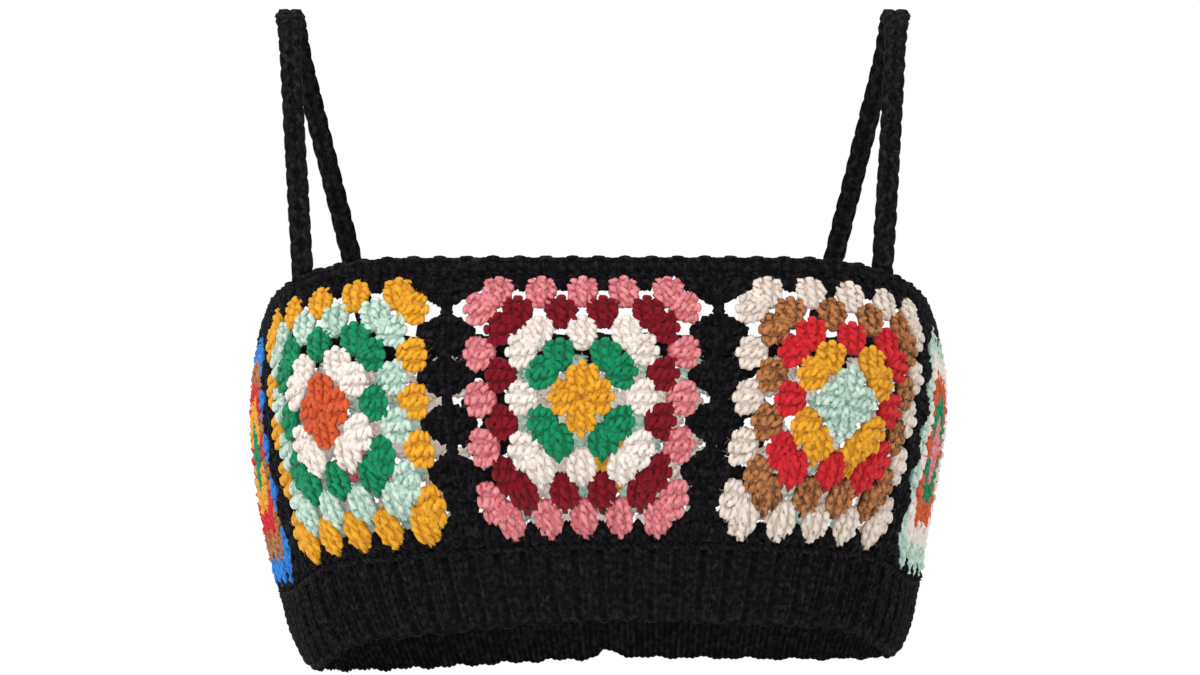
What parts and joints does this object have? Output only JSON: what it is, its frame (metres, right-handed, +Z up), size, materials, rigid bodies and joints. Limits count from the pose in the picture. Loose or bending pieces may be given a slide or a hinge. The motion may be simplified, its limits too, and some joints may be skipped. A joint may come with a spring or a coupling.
{
  "type": "crochet crop top",
  "caption": "Sleeveless crop top of crocheted granny squares joined in black, with a black ribbed hem band and cord straps.",
  "frame": {"origin": "midway between the undersides of the two strap crests, where the wearer's shoulders carry the garment", "axes": "+Z up, the wearer facing -Y, the wearer's left at +X"},
  "size_m": [0.2949, 0.2236, 0.2755],
  "materials": {
    "square_front_yarn": "matt crocheted yarn",
    "square_front_left_yarn": "matt crocheted yarn",
    "square_front_right_yarn": "matt crocheted yarn",
    "square_side_left_yarn": "matt crocheted yarn",
    "square_side_right_yarn": "matt crocheted yarn",
    "square_back_left_yarn": "matt crocheted yarn",
    "square_back_yarn": "matt crocheted yarn",
    "square_back_right_yarn": "matt crocheted yarn",
    "black_yarn": "matt black yarn"
  },
  "bodies": {
    "root": {"square_front": "square_front_yarn", "square_front_left": "square_front_left_yarn", "square_front_right": "square_front_right_yarn", "square_side_left": "square_side_left_yarn", "square_side_right": "square_side_right_yarn", "square_back_left": "square_back_left_yarn", "square_back": "square_back_yarn", "square_back_right": "square_back_right_yarn", "rib_band": "black_yarn", "top_edging": "black_yarn", "strap_left": "black_yarn", "strap_right": "black_yarn"}
  },
  "joints": []
}
